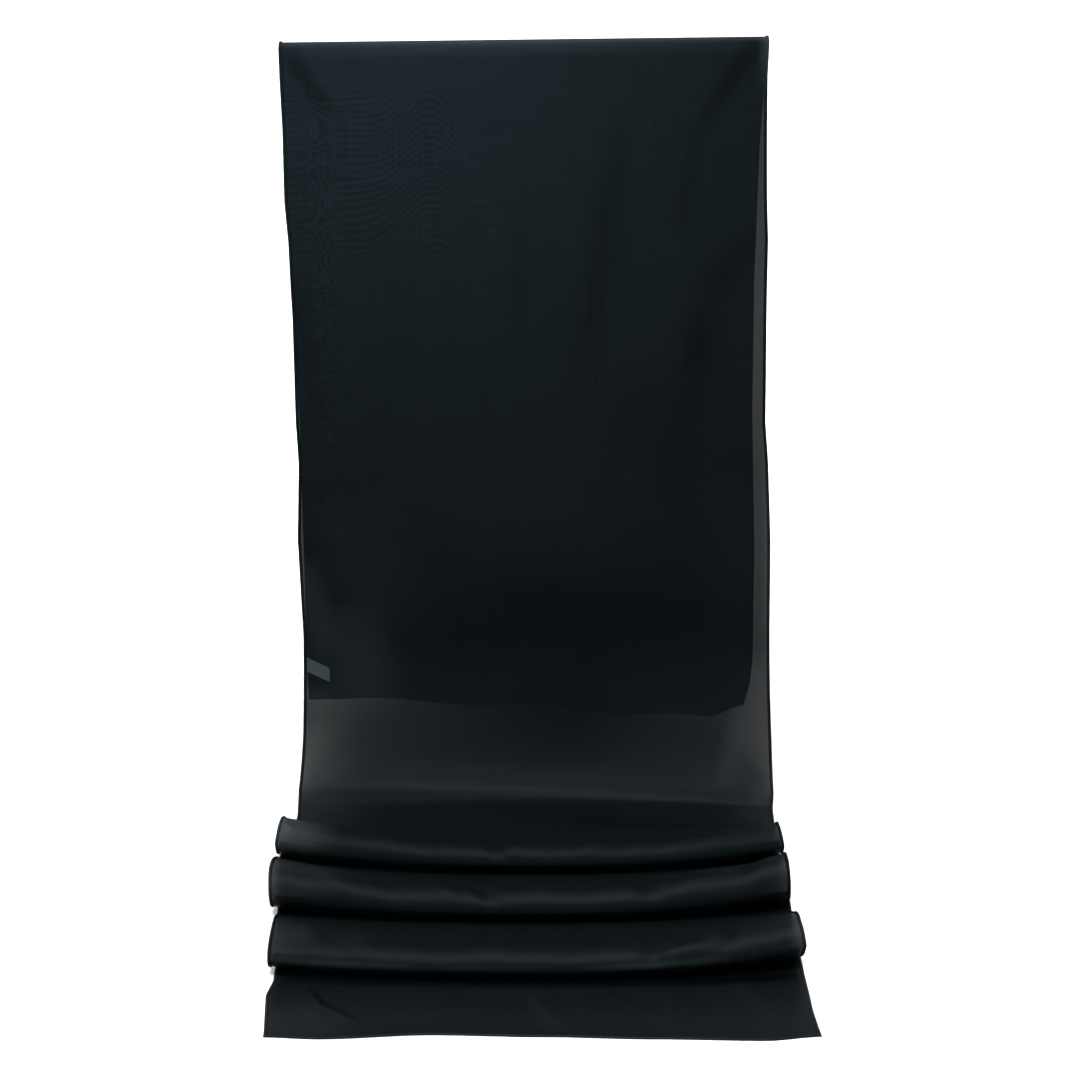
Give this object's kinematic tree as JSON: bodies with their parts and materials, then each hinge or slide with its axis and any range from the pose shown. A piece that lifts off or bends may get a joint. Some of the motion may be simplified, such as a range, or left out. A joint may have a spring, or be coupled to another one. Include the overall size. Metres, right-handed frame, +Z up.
{
  "type": "silk scarf draped over a rod",
  "caption": "Plain sheer long scarf hung over a thin rod, its front end lying forward in rolled folds, with rolled hems and a small bare label.",
  "frame": {"origin": "on the rod's axis, at the middle of its length", "axes": "+Z up, +X to the viewer's right along the rod, which rises 0.7 degrees towards +X, -Y towards the viewer, the way the front end runs"},
  "size_m": [0.3687, 0.5471, 0.5653],
  "materials": {
    "silk": "plain-weave silk, slightly sheer, with a soft sheen",
    "label_tape": "woven tape",
    "rod_paint": "plain white, satin"
  },
  "bodies": {
    "root": {"back_panel": "silk", "top_bend": "silk", "front_panel": "silk", "foot": "silk", "fold_1": "silk", "fold_2": "silk", "fold_3": "silk", "front_end": "silk", "label": "label_tape", "rod": "rod_paint"}
  },
  "joints": []
}
